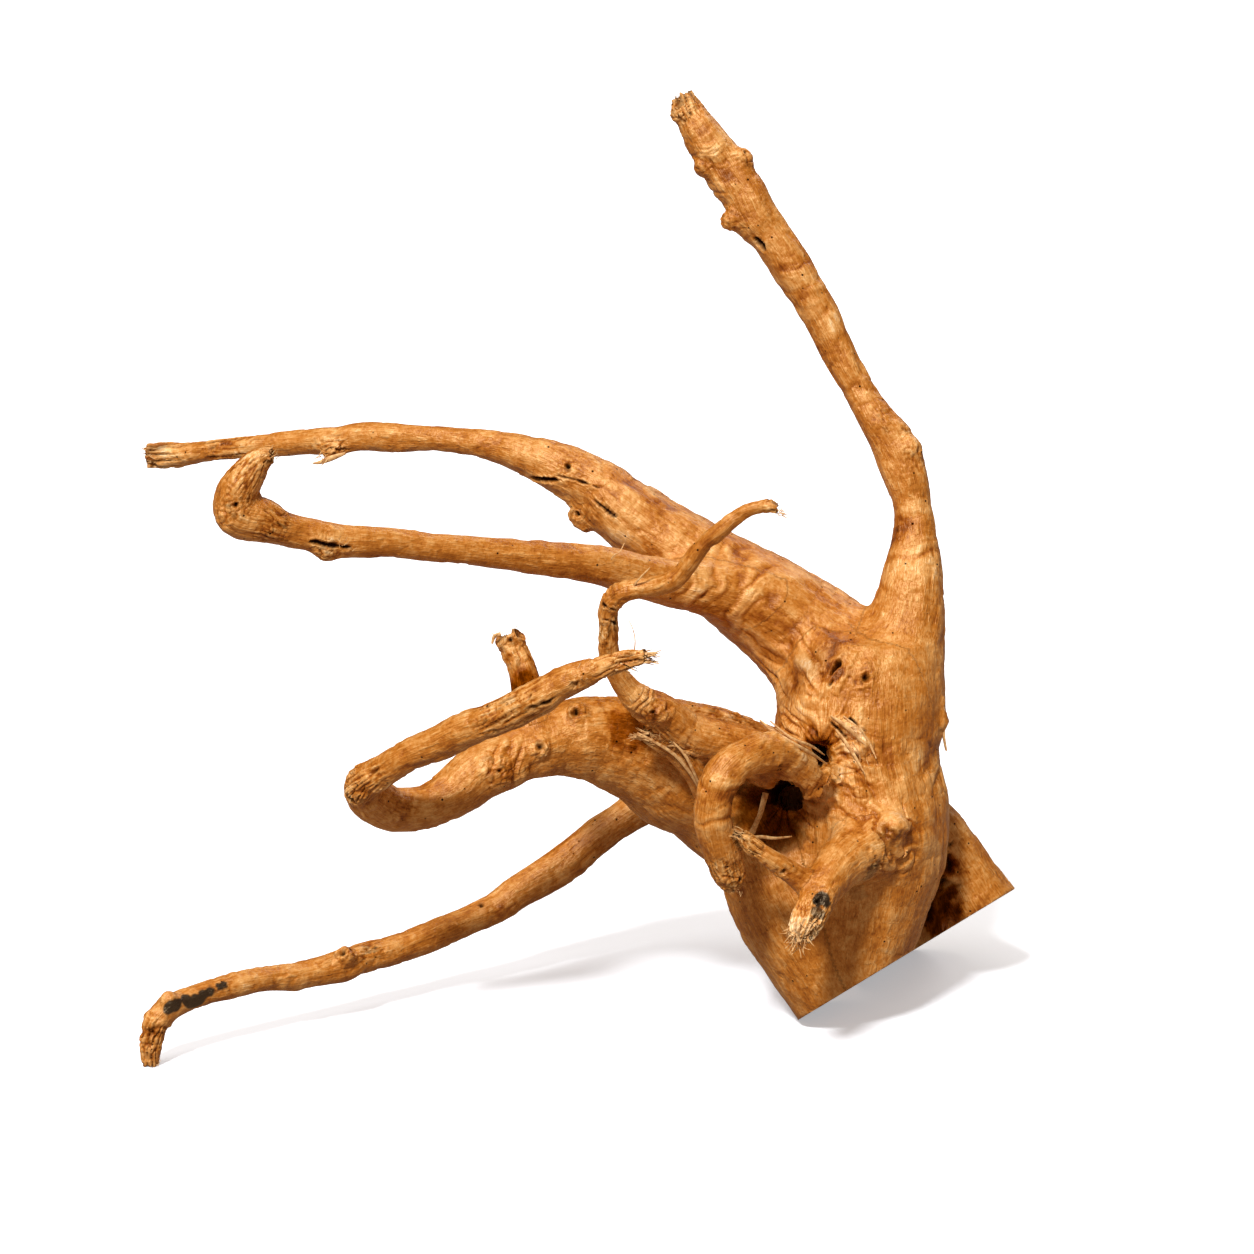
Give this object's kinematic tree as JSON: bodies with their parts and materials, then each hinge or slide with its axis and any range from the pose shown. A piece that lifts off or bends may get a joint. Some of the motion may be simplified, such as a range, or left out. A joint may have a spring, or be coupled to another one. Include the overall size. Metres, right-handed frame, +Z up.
{
  "type": "red moor wood root",
  "caption": "Peeled driftwood root with a sawn stump, two long arms, an upright arm, a bent lower branch, a leg and curling rootlets.",
  "frame": {"origin": "middle of the footprint's bounding box, on the surface that the root stands on", "axes": "+Z up, +X to the right of the picture's view, from the leg's tip to the sawn stump, +Y away from the viewer"},
  "size_m": [0.3721, 0.2383, 0.3726],
  "materials": {
    "peeled_root_wood": "peeled, smooth and satin, orange tan with darker mottling, fine grain along the limbs and frayed broken tips"
  },
  "bodies": {
    "root": {"moor_wood_root": "peeled_root_wood"}
  },
  "joints": []
}
